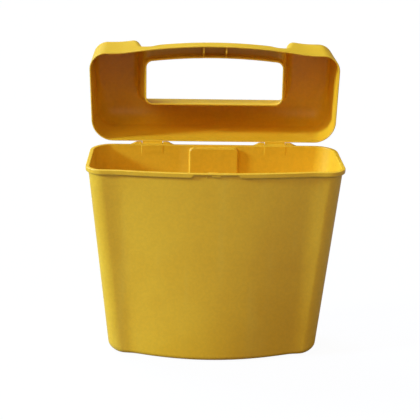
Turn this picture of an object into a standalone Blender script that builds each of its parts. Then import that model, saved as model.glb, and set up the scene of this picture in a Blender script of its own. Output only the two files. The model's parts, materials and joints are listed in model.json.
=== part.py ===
"""Sharps container: a tapered tub with a hinged carrying lid.

Frame: +Z up, +X to the right seen from the front, the front faces -Y.
The origin is on the underside of the base, at the middle of the base.
The lid is drawn closed about its hinge axis and hangs on the empty "lid_hinge_axis",
which holds it open a little past a right angle, its rear wall above the hinge lugs.
Dimensions are in millimetres. MM turns them into metres.
"""

import math
from typing import NamedTuple

import bmesh
import bpy

for old in list(bpy.data.objects):
    bpy.data.objects.remove(old, do_unlink=True)

MM = 0.001


class Outline(NamedTuple):
    """A plan outline, symmetric about x = 0, with a bowed front and rounded corners."""

    half_front: float    # half width at the front corners, before rounding
    half_rear: float
    rear: float          # plan y of the rear edge
    front: float         # plan y of the flat flanks of the front
    bow: float           # how far the middle of the front stands ahead of its flanks
    bow_half: float      # half width of the bow
    r_front: float       # corner radii
    r_rear: float


# ---------------------------------------------------------------- shared dimensions
TUB_HEIGHT = 195.5
WALL = 1.6
PLAN_SHIFT = 49.0        # plan y is measured from the rim's rear edge; world Y = y + this
CLEAR = 0.3              # gap between neighbouring pieces
CUT_OVER = 4.0           # usual run of a cutting solid past the face it cuts

RIM = Outline(half_front=125.0, half_rear=122.0, rear=0.0, front=-89.6,
              bow=8.2, bow_half=92.8, r_front=17.0, r_rear=21.4)
BASE = Outline(half_front=103.6, half_rear=100.3, rear=-6.0, front=-77.0,
               bow=16.4, bow_half=79.0, r_front=15.0, r_rear=17.0)
RIM_MIDDLE_FRONT = RIM.front - RIM.bow

BAND_PROUD = 2.2         # rim band, standing out from the wall
BAND_HEIGHT = 4.8
BAND_LOW = TUB_HEIGHT - BAND_HEIGHT
LATCH_LIP = 1.7          # thickness of the band left above the latch relief

AXIS_Y = 1.9             # hinge axis, behind the rim's rear edge
AXIS_Z = TUB_HEIGHT
OPEN_ANGLE = math.radians(91.0)


# ---------------------------------------------------------------- plan outlines
CORNER_STEPS = 5
BOW_POINTS = 13          # points on each half of the bowed front
BOW_SPREAD = 1.12        # these points reach this multiple of the bow's half width
BOW_SOFTNESS = 0.02      # how softly the bow runs out into the flanks
MIN_R_FRONT = 2.0
MIN_R_REAR = 2.5


def direction(start, end):
    length = math.dist(start, end)
    return (end[0] - start[0]) / length, (end[1] - start[1]) / length


def arc(before, corner, after, radius, steps):
    """Points of the fillet of a polygon corner, from the first edge to the second."""
    back = direction(corner, before)
    ahead = direction(corner, after)
    half_angle = math.acos(back[0] * ahead[0] + back[1] * ahead[1]) / 2
    reach = radius / math.tan(half_angle)
    bisector = direction((0, 0), (back[0] + ahead[0], back[1] + ahead[1]))
    centre_x, centre_y = (c + b * radius / math.sin(half_angle) for c, b in zip(corner, bisector))

    def bearing(edge):
        return math.atan2(corner[1] + edge[1] * reach - centre_y,
                          corner[0] + edge[0] * reach - centre_x)

    start = bearing(back)
    turn = (bearing(ahead) - start + math.pi) % (2 * math.pi) - math.pi
    angles = [start + turn * k / steps for k in range(steps + 1)]
    return [(centre_x + radius * math.cos(a), centre_y + radius * math.sin(a)) for a in angles]


def bow_at(x, outline):
    """Forward bulge of the front at x: a parabola that runs softly out into the flanks."""
    height = 1.0 - (x / outline.bow_half) ** 2
    return outline.bow * 0.5 * (height + math.sqrt(height * height + BOW_SOFTNESS))


def plan(outline):
    """Closed loop of plan points, anticlockwise seen from above, from the front middle."""
    rear = (0.0, outline.rear)
    rear_corner = (outline.half_rear, outline.rear)
    front_corner = (outline.half_front, outline.front)
    front = (0.0, outline.front)
    right = [rear]
    right += arc(rear, rear_corner, front_corner, outline.r_rear, CORNER_STEPS)
    right += arc(rear_corner, front_corner, front, outline.r_front, CORNER_STEPS)
    edge = min(outline.bow_half * BOW_SPREAD, outline.half_front - outline.r_front - 1.0)
    for k in range(BOW_POINTS):
        x = edge * (1.0 - k / (BOW_POINTS - 1))
        right.append((x, outline.front - bow_at(x, outline)))
    left = [(-x, y) for x, y in right[1:-1]]
    return list(reversed(right)) + left


def inset(outline, side, front=None, rear=None):
    """The same outline drawn in from its sides, front and rear."""
    front = side if front is None else front
    rear = side if rear is None else rear
    return outline._replace(
        half_front=outline.half_front - side,
        half_rear=outline.half_rear - side,
        rear=outline.rear - rear,
        front=outline.front + front,
        r_front=max(MIN_R_FRONT, outline.r_front - 0.5 * (side + front)),
        r_rear=max(MIN_R_REAR, outline.r_rear - 0.5 * (side + rear)),
    )


def mix(a, b, t):
    return Outline(*(p + (q - p) * t for p, q in zip(a, b)))


def smoothstep(low, high, value):
    t = max(0.0, min(1.0, (value - low) / (high - low)))
    return t * t * (3 - 2 * t)


# ---------------------------------------------------------------- solids
LOFT_SHARP = 32.0        # edges bent by more than this many degrees are shaded sharp
SWEEP_SHARP = 40.0


def loft(name, rings, sharp_angle=LOFT_SHARP):
    """A closed solid through stacked rings of equal point count, capped at both ends."""
    bm = bmesh.new()
    made = [[bm.verts.new((x * MM, y * MM, z * MM)) for x, y, z in ring] for ring in rings]
    count = len(made[0])
    for low, high in zip(made, made[1:]):
        for k in range(count):
            n = (k + 1) % count
            bm.faces.new((low[k], low[n], high[n], high[k]))
    bm.faces.new(list(reversed(made[0])))
    bm.faces.new(made[-1])
    bmesh.ops.recalc_face_normals(bm, faces=bm.faces)
    mesh = bpy.data.meshes.new(name)
    bm.to_mesh(mesh)
    bm.free()
    mesh.shade_smooth()
    mesh.set_sharp_from_angle(angle=math.radians(sharp_angle))
    obj = bpy.data.objects.new(name, mesh)
    bpy.context.scene.collection.objects.link(obj)
    return obj


def level(points, z):
    return [(x, y, z) for x, y in points]


def box(name, x0, x1, y0, y1, z0, z1):
    ring = [(x0, y0), (x1, y0), (x1, y1), (x0, y1)]
    return loft(name, [level(ring, z0), level(ring, z1)])


def along_x(name, sections):
    """A solid swept along X through (x, [(y, z), ...]) sections."""
    return loft(name, [[(x, y, z) for y, z in ring] for x, ring in sections], SWEEP_SHARP)


def upright(name, x_half, y0, y1, z0, z1, radius):
    """A block with a rounded outline seen from behind, running from y0 to y1."""
    corners = [(-x_half, z0), (x_half, z0), (x_half, z1), (-x_half, z1)]
    ring = []
    for k, corner in enumerate(corners):
        ring += arc(corners[k - 1], corner, corners[(k + 1) % 4], radius, 4)
    return loft(name, [[(x, y, z) for x, z in ring] for y in (y0, y1)])


def helper(obj):
    obj.hide_render = True
    obj.display_type = "WIRE"
    return obj


def cut(target, *tools):
    """Subtracts each tool from the target, in order."""
    for tool in tools:
        mod = target.modifiers.new("difference_" + tool.name, "BOOLEAN")
        mod.operation = "DIFFERENCE"
        mod.solver = "EXACT"
        mod.object = tool


def set_on_tub(*pieces):
    """Moves pieces drawn about the rim's rear edge into the frame of the base."""
    for piece in pieces:
        piece.location = (0.0, PLAN_SHIFT * MM, 0.0)


def hang(axis, *pieces):
    for piece in pieces:
        piece.parent = axis


# ---------------------------------------------------------------- materials
# part: (base colour, roughness)
POLYPROPYLENE = {
    "tub": ((0.56, 0.33, 0.030), 0.42),
    "lid": ((0.58, 0.35, 0.034), 0.40),
    "band": ((0.60, 0.37, 0.036), 0.40),
    "catch": ((0.60, 0.37, 0.040), 0.38),
    "lug": ((0.54, 0.31, 0.028), 0.42),
    "strap": ((0.57, 0.34, 0.032), 0.36),
    "rib": ((0.58, 0.34, 0.032), 0.40),
}


def polypropylene(part, colour, roughness):
    made = bpy.data.materials.new(part + "_polypropylene")
    made.use_nodes = True
    shader = made.node_tree.nodes["Principled BSDF"]
    shader.inputs["Base Color"].default_value = (*colour, 1.0)
    shader.inputs["Roughness"].default_value = roughness
    shader.inputs["Metallic"].default_value = 0.0
    return made


MATERIALS = {part: polypropylene(part, *look) for part, look in POLYPROPYLENE.items()}


def paint(obj, part):
    obj.data.materials.append(MATERIALS[part])


# ---------------------------------------------------------------- tub
FLOOR = 2.0
BODY_TOP = inset(RIM, BAND_PROUD)
BODY_LEVELS = (60.0, 128.0)        # heights of the rings between base and top
CAVITY_OVER = 3.0

BASE_EDGE_R = 5.0                  # rounding under the front and rear
BASE_EDGE_R_END = 9.0              # rounding under the two ends
CAVITY_EDGE_R = 3.5
CAVITY_EDGE_R_END = 7.0
EDGE_FADE = (70.0, 98.0)           # |x| over which one rounding turns into the other

POCKET_HALF = 24.2                 # pocket pressed into the rear wall
POCKET_TOP = TUB_HEIGHT - 2.2
POCKET_BOTTOM = TUB_HEIGHT - 84.0
POCKET_FLOOR = -5.8                # plan y of the flat floor of the recess
POCKET_INNER = POCKET_FLOOR - WALL
POCKET_R = 4.0
RECESS_R = POCKET_R - 1.0
RECESS_TOP = BAND_LOW - 2.0
RECESS_OUTER = 6.0                 # plan y where the recess cutter ends, behind the wall

DETENT_HALF = 5.0
DETENT_PROUD = 0.7                 # stands this far into the tub from the pocket
DETENT_Z = (TUB_HEIGHT - 35.0, TUB_HEIGHT - 27.0)
DETENT_R = 1.0


def body_rings(shell, edge, edge_end, z_low, z_top, turns):
    """Rings of the tapered body, drawn in by `shell`, with its lower edge rounded."""

    def outline_at(z):
        return inset(mix(BASE, BODY_TOP, z / TUB_HEIGHT), shell)

    lowest = outline_at(z_low)
    rings = []
    for k in range(turns + 1):
        t = math.pi / 2 * (1.0 - k / turns)
        draw_in = 1 - math.cos(math.pi / 2 - t) if False else 1 - math.cos(t)
        rounded = inset(lowest, edge_end * draw_in, edge * draw_in, edge * draw_in)
        ring = []
        for (x, y), (x_lowest, _) in zip(plan(rounded), plan(lowest)):
            radius = edge + (edge_end - edge) * smoothstep(*EDGE_FADE, abs(x_lowest))
            ring.append((x, y, z_low + radius * (1 - math.sin(t))))
        rings.append(ring)
    rings += [level(plan(outline_at(z)), z) for z in (*BODY_LEVELS, z_top)]
    return rings


def build_tub():
    tub = loft("tub_body", body_rings(0.0, BASE_EDGE_R, BASE_EDGE_R_END, 0.0, TUB_HEIGHT, 4))
    cavity = helper(loft("tub_cavity", body_rings(
        WALL, CAVITY_EDGE_R, CAVITY_EDGE_R_END, FLOOR, TUB_HEIGHT + CAVITY_OVER, 3)))
    # the bosses are taken out of the cavity, so they stand as solid wall inside the tub
    pocket_boss = helper(upright("pocket_boss", POCKET_HALF, POCKET_INNER, CUT_OVER,
                                 POCKET_BOTTOM, POCKET_TOP, POCKET_R))
    detent_boss = helper(upright("detent_boss", DETENT_HALF, POCKET_INNER - DETENT_PROUD,
                                 CUT_OVER, *DETENT_Z, DETENT_R))
    recess = helper(upright("pocket_recess", POCKET_HALF - WALL, POCKET_FLOOR, RECESS_OUTER,
                            POCKET_BOTTOM + WALL, RECESS_TOP, RECESS_R))
    cut(cavity, pocket_boss, detent_boss)
    cut(tub, cavity, recess)
    paint(tub, "tub")
    set_on_tub(tub, cavity, pocket_boss, detent_boss, recess)


# ---------------------------------------------------------------- rim band and catch
BAND_GAP = 0.3           # joint between band and wall
BAND_EDGE = 0.5          # chamfer of the band's edges
BAND_EDGE_LOW = 0.6      # height of the lower chamfer

RELIEF_HALF = 22.6       # the band is relieved here, leaving a thin lip
RELIEF_Y = (-5.0, 12.0)  # run of the relief cutter about the front of the band
RELIEF_OVER = 3.0

CATCH_HALF = 4.2
CATCH_DROP = 1.5
CATCH_TOP = TUB_HEIGHT - LATCH_LIP - CLEAR
CATCH_FRONT = RIM_MIDDLE_FRONT + 0.35
CATCH_TOE = RIM_MIDDLE_FRONT + 1.1             # where the sloping front meets the underside
CATCH_REAR = RIM_MIDDLE_FRONT + BAND_PROUD - 0.4


def build_band():
    """A ring round the mouth, relieved at the latch."""
    chamfered = plan(inset(RIM, BAND_EDGE))
    band = loft("rim_band", [
        level(chamfered, BAND_LOW),
        level(plan(RIM), BAND_LOW + BAND_EDGE_LOW),
        level(plan(RIM), TUB_HEIGHT - BAND_EDGE),
        level(chamfered, TUB_HEIGHT),
    ])
    inner = plan(inset(RIM, BAND_PROUD - BAND_GAP))
    bore = helper(loft("band_bore", [level(inner, BAND_LOW - CUT_OVER),
                                     level(inner, TUB_HEIGHT + CUT_OVER)]))
    relief = helper(box("latch_relief", -RELIEF_HALF, RELIEF_HALF,
                        RIM_MIDDLE_FRONT + RELIEF_Y[0], RIM_MIDDLE_FRONT + RELIEF_Y[1],
                        BAND_LOW - RELIEF_OVER, TUB_HEIGHT - LATCH_LIP))
    cut(band, bore, relief)
    paint(band, "band")
    set_on_tub(band, bore, relief)


def build_catch():
    """A small block under the lip, its front sloping back towards the underside."""
    section = [
        (CATCH_FRONT, CATCH_TOP),
        (CATCH_FRONT, CATCH_TOP - CATCH_DROP * 0.6),
        (CATCH_TOE, CATCH_TOP - CATCH_DROP),
        (CATCH_REAR, CATCH_TOP - CATCH_DROP),
        (CATCH_REAR, CATCH_TOP),
    ]
    catch = along_x("latch_catch", [(x, section) for x in (-CATCH_HALF, CATCH_HALF)])
    paint(catch, "catch")
    set_on_tub(catch)


# ---------------------------------------------------------------- strap hinges, tub side
HINGE_X = 61.5           # middle of each strap hinge
LUG_HALF = 22.0
LUG_TAPER = 7.0          # length of each tapering end
LUG_END_SCALE = 0.25
LUG_R = 1.8
LUG_REACH = 1.5          # centre of the lug's round back, behind the axis
LUG_FOOT_MIN = 1.0       # depth of the foot below the rim: this, plus LUG_FOOT times the scale
LUG_FOOT = 3.0
LUG_END_DROP = 1.2       # fall of the round back's centre as the scale goes to nothing

STRAP_HALF = 10.2
STRAP = 0.6              # thickness of the strap's foot
STRAP_Y = CLEAR + 0.1    # front face of the strap
STRAP_RISE = 1.8         # top of the strap above the rim
SLOT_GAP = 0.4           # beside the strap
SLOT_Y = (-1.0, 6.0)
SLOT_DEPTH = 2.3


def lug_section(scale):
    """Section of a hinge lug: round back behind the axis, shrunk towards the lug's ends."""
    radius = LUG_R * (0.35 + 0.65 * scale)
    centre_y = AXIS_Y + LUG_REACH * scale
    centre_z = AXIS_Z - LUG_END_DROP * (1 - scale)
    points = [(CLEAR, TUB_HEIGHT - LUG_FOOT_MIN - LUG_FOOT * scale)]
    for k in range(8):
        a = math.radians(-60 + 150 * k / 7)
        points.append((centre_y + radius * math.cos(a), centre_z + radius * math.sin(a)))
    points.append((AXIS_Y - 0.45 * LUG_R, centre_z + radius))
    points.append((CLEAR, centre_z + radius * 0.75))
    return points


def build_hinge(side, sign):
    centre = sign * HINGE_X
    stations = (
        (-LUG_HALF, LUG_END_SCALE), (-LUG_HALF + LUG_TAPER, 1.0),
        (LUG_HALF - LUG_TAPER, 1.0), (LUG_HALF, LUG_END_SCALE),
    )
    lug = along_x("hinge_lug_" + side, [(centre + x, lug_section(s)) for x, s in stations])
    slot_half = STRAP_HALF + SLOT_GAP
    slot = helper(box("strap_slot_" + side, centre - slot_half, centre + slot_half, *SLOT_Y,
                      TUB_HEIGHT - SLOT_DEPTH, TUB_HEIGHT + CUT_OVER))
    cut(lug, slot)

    # an upright foot behind the band, then a leaf leaning back over the hinge axis
    section = [
        (STRAP_Y, TUB_HEIGHT - 2.0),
        (STRAP_Y + STRAP, TUB_HEIGHT - 2.0),
        (STRAP_Y + STRAP, TUB_HEIGHT),
        (AXIS_Y + 0.75, TUB_HEIGHT + STRAP_RISE),
        (AXIS_Y - 0.1, TUB_HEIGHT + STRAP_RISE),
        (STRAP_Y, TUB_HEIGHT + 0.25),
    ]
    strap = along_x("hinge_strap_" + side,
                    [(centre + x, section) for x in (-STRAP_HALF, STRAP_HALF)])
    paint(lug, "lug")
    paint(strap, "strap")
    set_on_tub(lug, slot, strap)


# ---------------------------------------------------------------- lid, drawn closed
# Lid heights u are measured up from its mouth plane.
MOUTH = inset(RIM, 0.3, 0.0)       # just inside the rim band's outer edge, flush at the front
LID_SEAT = 0.3                     # closed lid above the rim
LID_HEIGHT = 67.0
LID_WALL = 1.5
LID_LEVELS = (20.0, 40.0)          # heights of the rings between mouth and shoulder
LID_DRAFT = math.tan(math.radians(1.3))
LID_DRAFT_REAR = math.tan(math.radians(2.5))
LID_R = 8.0
LID_R_REAR = 20.0
LID_R_FADE = (-50.0, -22.0)        # plan y over which one rounding turns into the other
LID_TURNS = 5

BAR_HEIGHT = 22.5                  # top of the grip bar
WINDOW_RIM = 10.0                  # free edge of the collar round the hand opening
WINDOW_HALF = 67.8                 # at the free edge
WINDOW_REAR = 36.4                 # from the lid's rear edge, at the free edge
WINDOW_BAR = 14.4                  # from the lid's front edge back to the hand opening
WINDOW_R = 5.5
WINDOW_DRAFT = math.tan(math.radians(8.0))
WINDOW_TILT = 0.001                # tiny slope of the edge leaving each front corner
NOTCH_REACH = 25.0                 # run of the notch cutter ahead of the lid
FAR_FRONT = -200.0                 # only sets the direction of the side edges
CUT_TOP = LID_HEIGHT + 12.0        # the cutters end near here, each at its own height

RIB_X = 11.2
RIB_HALF = 0.85
RIB_LOW = 11.6                     # low end, at the opening's collar
RIB_TALL = 5.0                     # how far it stands off the collar under the bar's top
RIB_TIP = 1.0                      # the same at its low end
RIB_EDGE = 1.5                     # height of its front edge
RIB_GAP = CLEAR + 0.2              # between rib and collar


def lid_frame(x, y, u):
    """Closed-lid plan position and height to coordinates about the hinge axis."""
    return (x, y - AXIS_Y, u + LID_SEAT + (TUB_HEIGHT - AXIS_Z))


def dome_rings(shell, u_low):
    """Rings of the lid, drawn in by `shell`, with rounded shoulders, fuller at the rear."""
    top = LID_HEIGHT - shell
    r_side = LID_R - shell
    r_rear = LID_R_REAR - shell

    def outline_at(u, t=0.0):
        side = LID_DRAFT * u + shell + r_side * (1 - math.cos(t))
        return inset(MOUTH, side, side, LID_DRAFT_REAR * u + shell + r_rear * (1 - math.cos(t)))

    rings = [[lid_frame(x, y, u) for x, y in plan(outline_at(max(u, 0.0)))]
             for u in (u_low, *LID_LEVELS)]
    shoulder = top - r_side
    base = plan(outline_at(shoulder))
    for k in range(LID_TURNS + 1):
        t = math.pi / 2 * k / LID_TURNS
        ring = []
        for (x, y), (_, y_base) in zip(plan(outline_at(shoulder + r_side * math.sin(t), t)), base):
            radius = r_side + (r_rear - r_side) * smoothstep(*LID_R_FADE, y_base)
            ring.append(lid_frame(x, y, top - radius + radius * math.sin(t)))
        rings.append(ring)
    return rings


def behind_front(x, distance):
    """Plan y of a line this far behind the lid's bowed front edge, at x."""
    return MOUTH.front + distance - bow_at(x, MOUTH)


def window_plan(u, grow, to_front):
    """Plan of the hand opening at height u, drawn out by `grow`; `to_front` opens its front."""
    half = WINDOW_HALF + WINDOW_DRAFT * (u - WINDOW_RIM) + grow
    rear = MOUTH.rear - WINDOW_REAR + WINDOW_DRAFT * (u - WINDOW_RIM) + grow
    radius = WINDOW_R + grow
    if to_front:
        front = MOUTH.front - MOUTH.bow - NOTCH_REACH
        points = [(half * k / 6, front) for k in range(-6, 7)]
    else:
        distance = WINDOW_BAR - grow
        flank = behind_front(half - radius, distance)
        middle = (0, flank - WINDOW_TILT)
        points = arc((-half, rear), (-half, flank), middle, radius, 4)
        for k in range(-6, 7):
            x = (half - radius - 3.0) * k / 6
            points.append((x, behind_front(x, distance)))
        points += arc(middle, (half, flank), (half, rear), radius, 4)
    points += arc((half, FAR_FRONT), (half, rear), (0, rear), radius, 4)
    points += arc((0, rear), (-half, rear), (-half, FAR_FRONT), radius, 4)
    return points


def window_prism(name, u_low, u_high, grow, to_front):
    return helper(loft(name, [[lid_frame(x, y, u) for x, y in window_plan(u, grow, to_front)]
                              for u in (u_low, u_high)]))


def build_lid(axis):
    lid = loft("lid_shell", dome_rings(0.0, 0.0))
    cavity = helper(loft("lid_cavity", dome_rings(LID_WALL, -CUT_OVER)))
    window = window_prism("hand_opening", WINDOW_RIM - CUT_OVER, CUT_TOP, 0.0, False)
    collar = window_prism("hand_opening_collar", WINDOW_RIM, CUT_TOP - 3.0, LID_WALL, False)
    notch = window_prism("front_notch", BAR_HEIGHT, CUT_TOP + 2.0, 0.0, True)
    notch_wall = window_prism("front_notch_wall", BAR_HEIGHT - LID_WALL, CUT_TOP - 5.0,
                              LID_WALL, True)
    # the grown prisms leave a wall round the opening and the notch
    cut(cavity, collar, notch_wall)
    cut(lid, cavity, window, notch)
    paint(lid, "lid")
    hang(axis, lid, cavity, window, collar, notch, notch_wall)


def build_rib(axis, side, sign):
    """A gusset between the underside of the bar's top and the collar of the hand opening."""
    middle = sign * RIB_X
    rear = behind_front(middle, WINDOW_BAR - LID_WALL) - RIB_GAP
    top = BAR_HEIGHT - LID_WALL - CLEAR
    ring = [
        (rear, RIB_LOW),
        (rear, top),
        (rear - RIB_TALL, top),
        (rear - RIB_TALL, top - RIB_EDGE),
        (rear - RIB_TIP, RIB_LOW),
    ]
    section = [lid_frame(0, y, u)[1:] for y, u in ring]
    rib = along_x("bar_rib_" + side,
                  [(x, section) for x in (middle - RIB_HALF, middle + RIB_HALF)])
    paint(rib, "rib")
    hang(axis, rib)


def build_axis():
    axis = bpy.data.objects.new("lid_hinge_axis", None)
    bpy.context.scene.collection.objects.link(axis)
    axis.location = (0.0, (AXIS_Y + PLAN_SHIFT) * MM, AXIS_Z * MM)
    axis.rotation_euler = (-OPEN_ANGLE, 0.0, 0.0)
    return axis


# ---------------------------------------------------------------- assembly
SIDES = (("left", -1), ("right", 1))

build_tub()
build_band()
build_catch()
for side_name, side_sign in SIDES:
    build_hinge(side_name, side_sign)

lid_axis = build_axis()
build_lid(lid_axis)
for side_name, side_sign in SIDES:
    build_rib(lid_axis, side_name, side_sign)

bpy.context.view_layer.update()
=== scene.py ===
"""Looks of the sharps container: a tub, an open lid and two living hinge webs, all moulded polypropylene.

The tub and the lid are rounded solids given by distance fields (negative inside), meshed with a surface net whose
points are pulled onto the surface. Lengths are in millimetres until a mesh is made. World Z is up, the front
faces -Y and the right is +X. Inside the fields, plan y is 0 at the rim's rear edge and negative towards the front.
"""

import json
import math
from itertools import product
from typing import NamedTuple

import bpy
import numpy as np
from mathutils import Matrix, Vector


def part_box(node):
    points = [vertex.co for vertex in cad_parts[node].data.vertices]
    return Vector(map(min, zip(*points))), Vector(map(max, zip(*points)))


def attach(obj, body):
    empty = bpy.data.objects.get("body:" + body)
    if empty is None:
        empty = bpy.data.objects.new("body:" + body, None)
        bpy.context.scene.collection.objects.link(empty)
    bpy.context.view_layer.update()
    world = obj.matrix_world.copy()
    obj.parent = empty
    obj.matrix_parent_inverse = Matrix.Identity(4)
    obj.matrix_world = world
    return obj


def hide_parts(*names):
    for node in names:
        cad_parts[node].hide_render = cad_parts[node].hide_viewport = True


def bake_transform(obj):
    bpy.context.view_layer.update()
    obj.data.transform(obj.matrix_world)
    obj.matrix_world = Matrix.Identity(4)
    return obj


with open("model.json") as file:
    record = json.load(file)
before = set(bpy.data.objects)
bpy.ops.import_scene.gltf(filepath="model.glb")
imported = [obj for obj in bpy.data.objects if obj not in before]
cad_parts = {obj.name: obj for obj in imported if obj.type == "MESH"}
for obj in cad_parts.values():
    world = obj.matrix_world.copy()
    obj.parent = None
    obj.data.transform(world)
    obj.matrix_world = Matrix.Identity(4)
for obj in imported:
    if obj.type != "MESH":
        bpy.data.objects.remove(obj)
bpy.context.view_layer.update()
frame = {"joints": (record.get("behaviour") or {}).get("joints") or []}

MM = 0.001


# ------------------------------------------------------------------ places read from the frame
def box_mm(node):
    low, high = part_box(node)
    return np.array(low) * 1000.0, np.array(high) * 1000.0


def middle_and_half(node):
    """Middle and half width of a CAD piece along x."""
    low, high = box_mm(node)
    return float((low[0] + high[0]) / 2), float((high[0] - low[0]) / 2)


joint = frame["joints"][0]
AXIS_Y, AXIS_Z = (float(value) * 1000.0 for value in joint["pos_m"][1:])
OPEN = math.radians(joint["range_deg"][1])       # the rest pose is this far from closed
RIM_Z = float(box_mm("tub_body")[1][2])          # height of the rim
REAR_Y = float(box_mm("rim_band")[1][1])         # world Y of the rim's rear edge
HINGE_Y = AXIS_Y - REAR_Y                        # hinge axis in plan y
HINGE_X, LUG_HALF = middle_and_half("hinge_lug_right")
STRAP_HALF = middle_and_half("hinge_strap_right")[1]
RIB_X = middle_and_half("bar_rib_right")[0]


# ------------------------------------------------------------------ plan outlines and dimensions
class Plan(NamedTuple):
    """A four-cornered plan outline with a bowed front."""
    front_half: float       # half width at the front
    rear_half: float        # half width at the rear
    rear: float             # y of the rear edge
    front: float            # y of the front edge where the bow starts
    bow: float              # how far the bow comes forward at the middle
    bow_half: float         # half width of the bow
    front_radius: float
    rear_radius: float

    def drawn_in(self, side, front, rear):
        return self._replace(
            front_half=self.front_half - side,
            rear_half=self.rear_half - side,
            rear=self.rear - rear,
            front=self.front + front,
            front_radius=self.front_radius - 0.5 * (side + front),
            rear_radius=self.rear_radius - 0.5 * (side + rear),
        )


PROUD, BAND, LIP = 2.2, 4.8, 1.7     # rim band: how far it stands out, its height, its height at the latch
RIM = Plan(125.0, 122.0, 0.0, -89.6, 8.2, 92.8, 17.0, 21.4)
BASE = Plan(103.6, 100.3, -6.0, -77.0, 16.4, 79.0, 15.0, 17.0)
BODY_TOP = RIM.drawn_in(PROUD, PROUD, PROUD)
RIM_FRONT = RIM.front - RIM.bow

LID_INSET, LID_SEAT = 0.3, 0.3       # lid inside the rim's outline, and closed lid above the rim
MOUTH = RIM.drawn_in(LID_INSET, 0.0, LID_INSET)
MOUTH_FRONT = MOUTH.front - MOUTH.bow

WALL, FLOOR, LID_WALL = 1.6, 2.0, 1.5
LID_TOP, BAR_TOP, COLLAR = 67.0, 22.5, 10.0      # heights over the lid's mouth


# ------------------------------------------------------------------ distance field helpers
def meet(a, b, radius):
    """The intersection, its outer edge rounded."""
    rounded = np.hypot(np.maximum(a + radius, 0.0), np.maximum(b + radius, 0.0))
    return np.minimum(-radius, np.maximum(a, b)) + rounded


def join(a, b, radius):
    """The union, its inner edge filled."""
    filled = np.hypot(np.maximum(radius - a, 0.0), np.maximum(radius - b, 0.0))
    return np.maximum(radius, np.minimum(a, b)) - filled


def step(start, end, value):
    """A smooth change from 0 at start to 1 at end."""
    t = np.clip((value - start) / (end - start), 0.0, 1.0)
    return t * t * (3.0 - 2.0 * t)


def rectangle(x, z, half_width, half_height, radius):
    return meet(np.abs(x) - half_width, np.abs(z) - half_height, radius)


def bow_at(x, plan):
    """How far the front bows forward at x, fading softly to nothing at the bow's ends."""
    softness = 0.02
    arch = 1.0 - (x / plan.bow_half) ** 2
    return plan.bow * 0.5 * (arch + np.sqrt(arch * arch + softness))


def outline(x, y, plan):
    """Distance to a plan outline, whose sizes may vary from point to point."""
    across = np.abs(x)
    slope = (plan.front_half - plan.rear_half) / (plan.rear - plan.front)
    half = plan.rear_half + slope * (plan.rear - y)
    side = (across - half) / np.sqrt(1.0 + slope * slope)
    lean = 2.0 * plan.bow * np.minimum(across, plan.bow_half) / plan.bow_half ** 2
    front = (plan.front - bow_at(x, plan) - y) / np.sqrt(1.0 + lean * lean)
    middle = 0.5 * (plan.rear + plan.front)
    return np.where(
        y < middle, meet(side, front, plan.front_radius), meet(side, y - plan.rear, plan.rear_radius))


# ------------------------------------------------------------------ tub moulding
# pocket sunk in the rear wall
POCKET_HALF, POCKET_FLOOR = 24.2, -5.8
POCKET_TOP, POCKET_BOTTOM = RIM_Z - 2.2, RIM_Z - 84.0
RECESS_TOP, RECESS_BOTTOM = RIM_Z - BAND - 2.0, POCKET_BOTTOM + WALL


def tub_outside(x, y, z, body):
    """The body and rim band, with a catch and a round bump under the lip at the front."""
    bottom_edge = 5.0 + 4.5 * step(84.0, 101.0, np.abs(x))
    outside = meet(body, -z, bottom_edge)

    # at the latch, in the middle of the front, the band is cut back to a thin lip
    relief = step(24.2, 20.6, np.abs(x)) * step(-50.0, -70.0, y)
    underside = RIM_Z - BAND + (BAND - LIP) * relief
    band = meet(outline(x, y, RIM), underside - z, 0.7 + 0.7 * (1 - relief))
    outside = join(outside, band, 0.6 + 0.2 * (1 - relief))

    catch = rectangle(x, z - (RIM_Z - LIP - 0.6), half_width=4.2, half_height=1.2, radius=0.6)
    catch = np.maximum(catch, np.maximum(y - RIM_FRONT - 3.2, RIM_FRONT + 0.45 - y))
    outside = join(outside, catch, 0.4)
    bump_x, bump_y, bump_z, bump_radius = -9.0, RIM_FRONT + PROUD, RIM_Z - LIP - 1.6, 1.15
    bump = np.sqrt((x - bump_x) ** 2 + (y - bump_y) ** 2 + (z - bump_z) ** 2) - bump_radius
    return join(outside, bump, 0.4)


def tub_cavity(x, y, z, body):
    """The inside of the tub, less the boss round the pocket."""
    # the rear wall is thicker under the hinge straps
    from_hinge = np.abs(np.abs(x) - HINGE_X)
    thickening = (
        0.28 * step(-20.0, -14.0, y) * step(RIM_Z - 11.0, RIM_Z - 5.0, z)
        * step(STRAP_HALF + 0.9, STRAP_HALF + 0.2, from_hinge)
    )
    floor_edge = 3.5 + 3.5 * step(66.0, 98.0, np.abs(x))
    cavity = meet(body + WALL + thickening, FLOOR - z, floor_edge)

    middle, half_height = 0.5 * (POCKET_TOP + POCKET_BOTTOM), 0.5 * (POCKET_TOP - POCKET_BOTTOM)
    boss_front = POCKET_FLOOR - WALL
    boss = meet(rectangle(x, z - middle, POCKET_HALF, half_height, 4.0), boss_front - y, 0.9)
    # small block on the boss's front face
    block = rectangle(x, z - (RIM_Z - 31.0), half_width=5.0, half_height=4.0, radius=1.0)
    block = meet(block, boss_front - 0.7 - y, 0.45)
    return meet(cavity, -join(boss, block, 0.5), 0.8)


def pocket_recess(x, y, z):
    """The hollow of the pocket, open to the rear."""
    middle, half_height = 0.5 * (RECESS_BOTTOM + RECESS_TOP), 0.5 * (RECESS_TOP - RECESS_BOTTOM)
    face = rectangle(x, z - middle, POCKET_HALF - WALL, half_height, 3.0)
    return meet(face, POCKET_FLOOR - y, 0.6)


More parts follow.
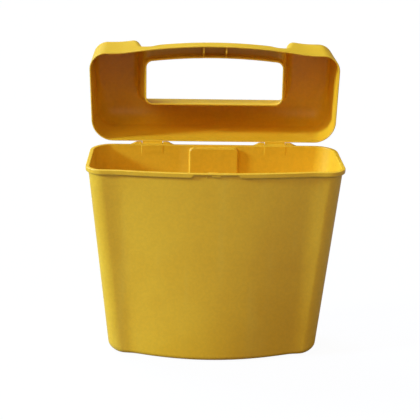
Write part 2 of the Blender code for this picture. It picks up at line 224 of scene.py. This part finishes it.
def hinge_lug(y, z, from_hinge):
    """A rounded rod behind the rim on a foot, tapered at both ends."""
    size = 0.35 + 0.65 * step(LUG_HALF, LUG_HALF - 7.5, from_hinge)
    drop = (1.0 - size) * 1.9
    rod_start = 0.9                              # in front of the hinge axis
    along = y - HINGE_Y + rod_start
    reach = np.minimum(np.maximum(along, 0.0), 1.5 * size + rod_start)
    rod = np.hypot(along - reach, z - RIM_Z + drop) - 1.8 * size
    foot = np.abs(z - RIM_Z + 1.5 + drop * 0.7) - 1.6 * size
    foot = np.maximum(foot, np.maximum(y - HINGE_Y, -1.2 - y))
    lug = meet(join(rod, foot, 0.6), from_hinge - LUG_HALF, 0.9)
    # clear of the closed lid's rear wall
    return meet(lug, -np.maximum(y - 0.3, RIM_Z - 0.2 - z), 0.2)


def tub_field(x, y, z):
    rise = z / RIM_Z
    body = outline(x, y, Plan(*(low + (high - low) * rise for low, high in zip(BASE, BODY_TOP))))
    solid = np.maximum(tub_outside(x, y, z, body), -tub_cavity(x, y, z, body))
    solid = meet(solid, z - RIM_Z, 0.55)
    solid = meet(solid, -pocket_recess(x, y, z), 0.45)
    from_hinge = np.abs(np.abs(x) - HINGE_X)
    solid = join(solid, hinge_lug(y, z, from_hinge), 0.25)
    # seat for the web
    seat = np.maximum(from_hinge - STRAP_HALF - 0.35, np.maximum(RIM_Z - 0.55 - z, 0.05 - y))
    return meet(solid, -seat, 0.25)


# ------------------------------------------------------------------ lid moulding, drawn closed; z is the height over its mouth
def tangent(degrees):
    return math.tan(math.radians(degrees))


DRAFT, REAR_DRAFT, NOTCH_DRAFT = tangent(1.3), tangent(2.5), tangent(8.0)
NOTCH_HALF, NOTCH_REAR = 67.8, MOUTH.rear - 36.4     # at the height of the collar
NOTCH_SCALE = 0.990                                  # turns offsets from the sloped faces into distances
BAR_DEPTH = 14.4                                     # grip bar, from front to rear
RIB_HALF = 0.75                                      # half thickness of gusset and blade


def lid_gussets(x, y, z, channel):
    """Two gussets in the channel of the grip bar, each with a blade that comes forward."""
    across = np.abs(np.abs(x) - RIB_X) - RIB_HALF
    top = z - BAR_TOP + 0.6
    bottom = COLLAR + 1.2
    slope = (y - channel + 0.9 + 0.5 * (z - bottom)) / 1.12
    gusset = np.maximum(np.maximum(across, -slope), np.maximum(bottom - z, top))
    gusset = np.maximum(gusset, y - channel - 0.8)
    blade = np.maximum(across, meet(2.4 - z, y - MOUTH_FRONT - 8.2, 1.6))
    blade_front = MOUTH_FRONT + 0.75 + 0.023 * np.maximum(z, 0.0)
    blade = np.maximum(blade, np.maximum(top, blade_front - y))
    return np.minimum(gusset, blade)


def lid_field(x, y, z):
    rise = np.maximum(z, 0.0)
    plan = outline(x, y, MOUTH.drawn_in(DRAFT * rise, DRAFT * rise, REAR_DRAFT * rise))
    dome = meet(plan, z - LID_TOP, 7.0 + 13.0 * step(-50.0, -22.0, y))

    # the front notch over the grip bar, and the hand opening down through it
    half = NOTCH_HALF + NOTCH_DRAFT * (z - COLLAR)
    rear = NOTCH_REAR + NOTCH_DRAFT * (z - COLLAR)
    side = (np.abs(x) - half) * NOTCH_SCALE
    back = (y - rear) * NOTCH_SCALE
    bar_back = MOUTH_FRONT + BAR_DEPTH + MOUTH.bow - bow_at(x, MOUTH)
    hole_rear = meet(side, back, 7.0)
    hole = np.where(y < 0.5 * (rear + bar_back), meet(side, bar_back - y, 5.5), hole_rear)
    notch = meet(hole_rear, BAR_TOP - z, 7.0)

    # rounding of the notch: wide on the shoulders, tighter along the grip bar and at the rear
    rounding = 3.2 + 4.8 * step(half - 15.0, half - 5.0, np.abs(x))
    rounding = rounding + (3.4 - rounding) * step(-46.0, -36.0, y)
    outer = meet(dome, -notch, rounding)
    pierced = meet(outer, -hole, 2.2)
    void = join(pierced + LID_WALL, np.maximum(outer + LID_WALL, z - COLLAR), 0.5)
    solid = np.maximum(pierced, -void)
    solid = join(solid, lid_gussets(x, y, z, bar_back - LID_WALL), 0.45)
    return meet(solid, -z, 0.4)


# ------------------------------------------------------------------ surface net
def spaced(start, *runs):
    """Grid lines from a start through runs of (end, largest spacing)."""
    lines = [start]
    for end, gap in runs:
        count = max(1, int(math.ceil((end - start) / gap - 1e-9)))
        lines += [start + (end - start) * k / count for k in range(1, count + 1)]
        start = end
    return np.array(lines)


def mirrored(half):
    return np.concatenate([-half[::-1][:-1], half])


def sample(field, grid):
    """The field at every grid point, worked out a few layers at a time."""
    xs, ys, zs = grid
    layers = 8
    values = np.empty((len(xs), len(ys), len(zs)))
    for k in range(0, len(zs), layers):
        values[:, :, k:k + layers] = field(*np.meshgrid(xs, ys, zs[k:k + layers], indexing="ij"))
    values[np.abs(values) < 1e-6] = 1e-6
    return values


def gradient(field, points, reach):
    slopes = np.empty_like(points)
    for axis in range(3):
        shift = np.zeros(3)
        shift[axis] = reach
        slopes[:, axis] = (field(*(points + shift).T) - field(*(points - shift).T)) / (2 * reach)
    return slopes


def crossing_means(values, grid, cells):
    """For each cell, the mean of the places where its edges cross the surface."""
    total, hits = np.zeros((len(cells[0]), 3)), np.zeros(len(cells[0]))
    for axis, s, t in product(range(3), (0, 1), (0, 1)):
        start = list(cells)
        for other, offset in zip([a for a in range(3) if a != axis], (s, t)):
            start[other] = start[other] + offset
        end = list(start)
        end[axis] = end[axis] + 1
        at_start, at_end = values[tuple(start)], values[tuple(end)]
        crosses = (at_start < 0) != (at_end < 0)
        part = np.where(crosses, at_start / np.where(crosses, at_start - at_end, 1.0), 0.0)
        for c in range(3):
            low, high = grid[c][start[c]], grid[c][end[c]]
            total[:, c] += np.where(crosses, low + part * (high - low), 0.0)
        hits += crosses
    return total / hits[:, None]


def quads_across(inside, number, axis):
    """A quad of the four cells round each grid edge along an axis that crosses the surface."""
    first, second = (axis + 1) % 3, (axis + 2) % 3
    crop = [slice(None)] * 3
    crop[first] = crop[second] = slice(1, -1)
    edge = list(np.nonzero(np.diff(inside, axis=axis)[tuple(crop)]))
    edge[first] = edge[first] + 1
    edge[second] = edge[second] + 1
    corners = []
    for s, t in ((0, 0), (1, 0), (1, 1), (0, 1)):
        cell = list(edge)
        cell[first] = cell[first] - 1 + s
        cell[second] = cell[second] - 1 + t
        corners.append(number[tuple(cell)])
    quads = np.stack(corners, 1)
    flip = ~inside[tuple(edge)]
    quads[flip] = quads[flip][:, ::-1]
    return quads


def surface_net(field, *grid):
    """Points on the zero surface of a field, one to a cell, with their normals and quads."""
    values = sample(field, grid)
    inside = values < 0
    count = np.zeros(tuple(n - 1 for n in inside.shape), np.int8)
    for corner in product((0, 1), repeat=3):
        count += inside[tuple(slice(c, n - 1 + c) for c, n in zip(corner, inside.shape))]
    active = (count > 0) & (count < 8)
    cells = np.nonzero(active)
    number = np.full(active.shape, -1, np.int64)
    number[active] = np.arange(len(cells[0]))

    # pull each point onto the surface, inside its own cell
    points = crossing_means(values, grid, cells)
    low = np.stack([grid[c][cells[c]] for c in range(3)], 1)
    high = np.stack([grid[c][cells[c] + 1] for c in range(3)], 1)
    for _ in range(5):
        slopes = gradient(field, points, 0.02)
        move = field(*points.T) / np.maximum((slopes * slopes).sum(1), 0.05)
        points = np.clip(points - np.clip(move, -0.6, 0.6)[:, None] * slopes, low, high)
    normals = gradient(field, points, 0.06)
    normals /= np.maximum(np.linalg.norm(normals, axis=1), 1e-9)[:, None]
    quads = np.concatenate([quads_across(inside, number, axis) for axis in range(3)])
    return points, normals, quads


# ------------------------------------------------------------------ building the pieces
def link_object(name, data):
    obj = bpy.data.objects.new(name, data)
    bpy.context.scene.collection.objects.link(obj)
    return obj


def make_object(name, points, faces, normals=None):
    """A smooth mesh object from points in millimetres and quads."""
    mesh = bpy.data.meshes.new(name)
    mesh.vertices.add(len(points))
    mesh.vertices.foreach_set("co", np.asarray(points * MM, np.float32).ravel())
    faces = np.asarray(faces, np.int32)
    mesh.loops.add(faces.size)
    mesh.loops.foreach_set("vertex_index", faces.ravel())
    mesh.polygons.add(len(faces))
    starts = np.arange(0, faces.size, faces.shape[1], dtype=np.int32)
    mesh.polygons.foreach_set("loop_start", starts)
    mesh.update(calc_edges=True)
    mesh.validate()
    mesh.shade_smooth()
    if normals is not None:
        mesh.normals_split_custom_set_from_vertices([tuple(n) for n in normals])
    return link_object(name, mesh)


def turned(vectors):
    """Vectors of the closed lid, turned to where it stands at rest."""
    x, y, z = vectors.T
    c, s = math.cos(-OPEN), math.sin(-OPEN)
    return np.stack([x, y * c - z * s, y * s + z * c], 1)


def opened(points):
    """Points of the closed lid, moved to where it stands at rest in the world."""
    closed_axis = np.array([0.0, HINGE_Y, AXIS_Z - RIM_Z - LID_SEAT])
    return turned(points - closed_axis) + np.array([0.0, AXIS_Y, AXIS_Z])


# grid lines: start, then (end, largest spacing); close together at edges and small features
fine = 0.75


def build_tub():
    xs = mirrored(spaced(
        0.0, (3.6, 1.8), (6.4, 0.5), (12.0, 0.8), (19.8, 2.0), (26.4, 0.6), (38.0, 2.3),
        (49.6, 1.2), (52.6, 0.4), (70.4, 2.2), (73.4, 0.4), (84.4, 1.2), (127.0, fine),
    ))
    ys = spaced(-99.0, (-58.0, fine), (-26.0, 3.0), (-10.0, fine), (6.4, 0.5))
    zs = spaced(
        -1.2, (13.0, 0.75), (108.0, 4.0), (119.0, 0.8), (RIM_Z - 37.0, 4.0), (RIM_Z - 25.0, 0.6),
        (RIM_Z - 11.4, 3.0), (RIM_Z - 7.0, 0.6), (RIM_Z + 3.4, 0.4),
    )
    points, normals, quads = surface_net(tub_field, xs, ys, zs)
    points[:, 1] += REAR_Y
    return make_object("tub_moulding", points, quads, normals)


def build_lid():
    xs = mirrored(spaced(
        0.0, (9.0, 2.2), (13.6, 0.45), (58.0, 2.4), (84.0, fine), (98.0, 2.0), (126.5, fine)))
    ys = spaced(-98.0, (-70.0, fine), (-41.0, 2.6), (1.2, fine))
    zs = spaced(
        -1.2, (1.8, 0.4), (4.2, 0.6), (7.8, 1.2), (13.0, 0.5), (18.0, 1.0), (30.0, 0.7),
        (44.0, 1.3), (68.5, fine),
    )
    points, normals, quads = surface_net(lid_field, xs, ys, zs)
    return make_object("lid_moulding", opened(points), quads, turned(normals))


# ------------------------------------------------------------------ living hinge webs
EDGE_Y, EDGE_Z = opened(np.array([[0.0, MOUTH.rear, 0.0]]))[0, 1:] - np.array([AXIS_Y, RIM_Z])
# from tub to lid: y from the hinge axis, z from the rim, thickness
WEB_PATH = [
    (-HINGE_Y - 1.0, -0.02, 0.5), (-HINGE_Y + 0.1, 0.05, 0.62), (-1.1, 0.02, 0.6),
    (-0.45, 0.1, 0.46), (0.0, 0.45, 0.42), (0.22, 1.0, 0.46),
    (EDGE_Y + 0.05, EDGE_Z + 0.15, 0.62), (EDGE_Y + 0.42, EDGE_Z + 0.75, 0.5),
]
# distance from the web's end, share of the full thickness
WEB_ENDS = [(0.0, 0.35), (0.15, 0.75), (0.4, 0.95), (1.0, 1.0)]


def curve(points, steps):
    """Catmull-Rom points through a list."""
    ends = np.array([points[0]] + list(points) + [points[-1]], float)
    out = []
    for k in range(1, len(ends) - 2):
        before, start, end, after = ends[k - 1:k + 3]
        for t in np.linspace(0, 1, steps, endpoint=False):
            out.append(0.5 * (
                2 * start + (end - before) * t
                + (2 * before - 5 * start + 4 * end - after) * t * t
                + (3 * start - before - 3 * end + after) * t ** 3
            ))
    out.append(ends[-2])
    return np.array(out)


def build_web(name, centre):
    """A thin strip, swept along x as closed rings that thin out at both ends."""
    path = curve(WEB_PATH, 5)
    line, thickness = path[:, :2], path[:, 2]
    along = np.gradient(line, axis=0)
    along /= np.linalg.norm(along, axis=1)[:, None]
    across = np.stack([-along[:, 1], along[:, 0]], 1) * (thickness / 2)[:, None]
    loop = np.concatenate([line + across, (line - across)[::-1]])
    middle = np.concatenate([line, line[::-1]])
    stations = (
        [(-STRAP_HALF + inset, share) for inset, share in WEB_ENDS]
        + [(x, 1.0) for x in np.linspace(-STRAP_HALF + 2.5, STRAP_HALF - 2.5, 12)]
        + [(STRAP_HALF - inset, share) for inset, share in reversed(WEB_ENDS)]
    )
    points, faces = [], []
    for x, share in stations:
        ring = middle + (loop - middle) * share
        points += [(centre + x, AXIS_Y + y, RIM_Z + z) for y, z in ring]
    count = len(loop)
    last = (len(stations) - 1) * count
    for ring in range(0, last, count):
        for m in range(count):
            n = (m + 1) % count
            faces.append((ring + count + m, ring + count + n, ring + n, ring + m))
    for ring in (0, last):
        for m in range(count // 2 - 1):
            a, b, c, d = ring + m, ring + m + 1, ring + count - 2 - m, ring + count - 1 - m
            faces.append((b, c, d, a) if ring == 0 else (d, c, b, a))
    return make_object(name, np.array(points), faces)


tub = build_tub()
lid = build_lid()
web_left = build_web("hinge_web_left", -HINGE_X)
web_right = build_web("hinge_web_right", HINGE_X)


# ------------------------------------------------------------------ material
def add_node(tree, kind, inputs=None, **settings):
    """A new shader node; an input given a socket is linked, any other value is set."""
    node = tree.nodes.new("ShaderNode" + kind)
    for key, value in settings.items():
        setattr(node, key, value)
    for slot, value in (inputs or {}).items():
        if isinstance(value, bpy.types.NodeSocket):
            tree.links.new(value, node.inputs[slot])
        else:
            node.inputs[slot].default_value = value
    return node


def polypropylene(name, base, deep, rough, seed, pale=(0.93, 0.66, 0.08)):
    """Satin moulded plastic: cloudy colour, fine grain, faint flow marks, and rubbed edges."""
    material = bpy.data.materials.new(name)
    material.use_nodes = True
    tree = material.node_tree

    def noise(scale, detail, roughness, vector):
        inputs = {"Scale": scale, "Detail": detail, "Roughness": roughness, "Vector": vector}
        return add_node(tree, "TexNoise", inputs).outputs["Fac"]

    def ramp(source, *stops):
        node = add_node(tree, "ValToRGB", {"Fac": source})
        node.color_ramp.interpolation = "EASE"
        for element, (position, colour) in zip(node.color_ramp.elements, stops):
            element.position = position
            element.color = (*colour, 1)
        return node.outputs["Color"]

    def mix(factor, a, b, kind="MIX"):
        inputs = {0: factor, 6: a, 7: b}         # 6 and 7 are the colour slots
        return add_node(tree, "Mix", inputs, data_type="RGBA", blend_type=kind).outputs[2]

    def maths(operation, a, b):
        return add_node(tree, "Math", {0: a, 1: b}, operation=operation).outputs[0]

    place = add_node(tree, "TexCoord").outputs["Object"]
    shift = add_node(
        tree, "Mapping", {"Vector": place, "Location": (seed, seed * 0.37, seed * 0.71)})
    shift = shift.outputs["Vector"]
    cloud = noise(scale=22.0, detail=4.0, roughness=0.55, vector=shift)
    mottle = noise(scale=330.0, detail=3.0, roughness=0.6, vector=shift)
    grain = noise(scale=1500.0, detail=2.0, roughness=0.5, vector=shift)
    stretch = add_node(tree, "Mapping", {"Vector": shift, "Scale": (60.0, 60.0, 7.0)})
    flow = noise(scale=1.0, detail=3.0, roughness=0.5, vector=stretch.outputs["Vector"])

    # colour: clouds, mottling, pale flow streaks, then pale worn edges
    black = (0.0, 0.0, 0.0)
    colour = ramp(cloud, (0.38, deep), (0.64, base))
    spots = ramp(mottle, (0.36, (0.965, 0.96, 0.94)), (0.66, (1.02, 1.02, 1.03)))
    colour = mix(1.0, colour, spots, "MULTIPLY")
    streak = ramp(flow, (0.52, black), (0.74, (0.16, 0.16, 0.16)))
    colour = mix(streak, colour, (*pale, 1.0))
    pointiness = add_node(tree, "NewGeometry").outputs["Pointiness"]
    worn = ramp(pointiness, (0.515, black), (0.60, (0.5, 0.5, 0.5)))
    worn = maths("MULTIPLY", worn, maths("ADD", maths("MULTIPLY", mottle, 0.8), 0.2))
    colour = mix(worn, colour, (*pale, 1.0))

    # roughness varies with the clouds and mottling, and worn edges are glossier
    roughness = maths("ADD", maths("MULTIPLY", cloud, 0.10), rough - 0.05)
    roughness = maths("ADD", roughness, maths("MULTIPLY", mottle, 0.07))
    roughness = maths("SUBTRACT", roughness, maths("MULTIPLY", worn, 0.12))

    bsdf = tree.nodes["Principled BSDF"]
    normal = None
    for height, strength, distance in (
        (mottle, 0.16, 0.0009), (grain, 0.14, 0.00035), (cloud, 0.10, 0.004),
    ):
        inputs = {"Height": height, "Strength": strength, "Distance": distance}
        if normal:
            inputs["Normal"] = normal
        normal = add_node(tree, "Bump", inputs).outputs["Normal"]
    bsdf.inputs["IOR"].default_value = 1.49
    for slot, socket in (("Base Color", colour), ("Roughness", roughness), ("Normal", normal)):
        tree.links.new(socket, bsdf.inputs[slot])
    return material


tub_plastic = polypropylene(
    "tub_polypropylene", base=(0.905, 0.515, 0.016), deep=(0.88, 0.485, 0.013), rough=0.40, seed=1.3)
lid_plastic = polypropylene(
    "lid_polypropylene", base=(0.905, 0.515, 0.016), deep=(0.885, 0.49, 0.013), rough=0.36, seed=4.1)
web_plastic = polypropylene(
    "web_polypropylene", base=(0.905, 0.525, 0.018), deep=(0.89, 0.50, 0.015), rough=0.32, seed=7.7)
for piece, plastic in (
    (tub, tub_plastic), (lid, lid_plastic), (web_left, web_plastic), (web_right, web_plastic),
):
    piece.data.materials.append(plastic)

# ------------------------------------------------------------------ riding the frame
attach(tub, "container")
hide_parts("tub_body", "rim_band", "latch_catch", "hinge_lug_left", "hinge_lug_right")
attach(lid, "lid")
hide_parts("lid_shell", "bar_rib_left", "bar_rib_right")
# the webs keep the shape they are built with, from in front of the hinge axis to behind and above it
for piece, node in ((web_left, "hinge_strap_left"), (web_right, "hinge_strap_right")):
    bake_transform(piece)
    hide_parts(node)


# ------------------------------------------------------------------ floor and world, in metres
def camera_only(tree, seen, other, output):
    """Show the camera one shader and everything else the other."""
    camera_ray = add_node(tree, "LightPath").outputs["Is Camera Ray"]
    inputs = {0: camera_ray, 1: other.outputs[0], 2: seen.outputs[0]}
    mixed = add_node(tree, "MixShader", inputs)
    tree.links.new(mixed.outputs[0], tree.nodes[output].inputs["Surface"])


def paper_material():
    """Glows almost white to the camera, but is dull grey to the light."""
    paper = bpy.data.materials.new("paper")
    paper.use_nodes = True
    tree = paper.node_tree
    tree.nodes.remove(tree.nodes["Principled BSDF"])
    glow = add_node(tree, "Emission", {"Strength": 1.0})
    matt = add_node(tree, "BsdfDiffuse", {"Color": (0.95, 0.95, 0.95, 1)})
    seen = add_node(tree, "MixShader", {0: 0.04, 1: glow.outputs[0], 2: matt.outputs[0]})
    grey = add_node(tree, "BsdfDiffuse", {"Color": (0.25, 0.25, 0.25, 1)})
    camera_only(tree, seen, grey, "Material Output")
    return paper


FLOOR_HALF, FLOOR_Z = 6, -0.0006
floor_mesh = bpy.data.meshes.new("floor")
floor_corners = [(x * FLOOR_HALF, y * FLOOR_HALF, FLOOR_Z) for x, y in ((-1, -1), (1, -1), (1, 1), (-1, 1))]
floor_mesh.from_pydata(floor_corners, [], [(0, 1, 2, 3)])
floor = link_object("floor", floor_mesh)
floor_mesh.materials.append(paper_material())

# the world is white to the camera and gives no light
world = bpy.data.worlds.new("studio")
world.use_nodes = True
dark = world.node_tree.nodes["Background"]
dark.inputs["Color"].default_value = (1.0, 1.0, 1.0, 1)
dark.inputs["Strength"].default_value = 0.0
bright = add_node(world.node_tree, "Background", {"Color": (1.0, 1.0, 1.0, 1), "Strength": 1.0})
camera_only(world.node_tree, bright, dark, "World Output")
scene = bpy.context.scene
scene.world = world

# ------------------------------------------------------------------ lights
# softboxes far away: azimuth (0 is in front, 90 on the right), elevation, apparent size, all in
# degrees, then strength and colour
LIGHTS = [
    ("key", -77.0, 23.5, 9.0, 0.65, (1.0, 1.48, 2.5)),
    ("back_left", 225.0, 44.0, 38.0, 0.55, (1.0, 1.36, 2.3)),
    ("front_left", -45.0, 32.0, 38.0, 0.195, (1.0, 0.82, 0.65)),
    ("front_top", -25.0, 50.0, 38.0, 0.135, (1.0, 0.86, 0.68)),
    ("front_right", 45.0, 32.0, 38.0, 0.12, (1.0, 0.75, 0.50)),
    ("right", 110.0, 35.0, 38.0, 0.16, (1.0, 1.0, 1.0)),
    ("back", 180.0, 58.0, 38.0, 0.08, (1.0, 1.0, 1.0)),
    ("front", 0.0, 32.0, 38.0, 0.05, (1.0, 0.84, 0.70)),
]
for name, azimuth, elevation, size, strength, colour in LIGHTS:
    sun = bpy.data.lights.new(name, "SUN")
    sun.angle = math.radians(size)
    sun.energy = math.pi * strength
    sun.color = colour
    a, e = math.radians(azimuth), math.radians(elevation)
    towards = Vector((math.sin(a) * math.cos(e), -math.cos(a) * math.cos(e), math.sin(e)))
    lamp = link_object(name, sun)
    lamp.location = towards * 2.0
    lamp.rotation_mode = "QUATERNION"
    lamp.rotation_quaternion = towards.to_track_quat("Z", "Y")

scene.view_settings.view_transform = "Standard"
scene.view_settings.look = "None"
scene.view_settings.exposure = 0.0
scene.view_settings.gamma = 1.0

# ------------------------------------------------------------------ camera, in metres and radians
DISTANCE, ELEVATION, YAW, ROLL = 1.50447, 0.33316, 0.03316, 0.020465
aim = Vector((-0.00236, REAR_Y * MM, (RIM_Z - 69.54) * MM))
offset = Vector((0.0, -DISTANCE * math.cos(ELEVATION), DISTANCE * math.sin(ELEVATION)))
offset = Matrix.Rotation(-YAW, 3, "Z") @ offset
lens = bpy.data.cameras.new("camera")
lens.sensor_width = 36.0
lens.sensor_height = 36.0
lens.lens = 126.585
lens.clip_start = 0.05
lens.clip_end = 50.0
camera = link_object("camera", lens)
camera.location = aim + offset
camera.rotation_mode = "QUATERNION"
look = (-offset).to_track_quat("-Z", "Y")
camera.rotation_quaternion = look @ Matrix.Rotation(ROLL, 3, "Z").to_quaternion()
scene.camera = camera
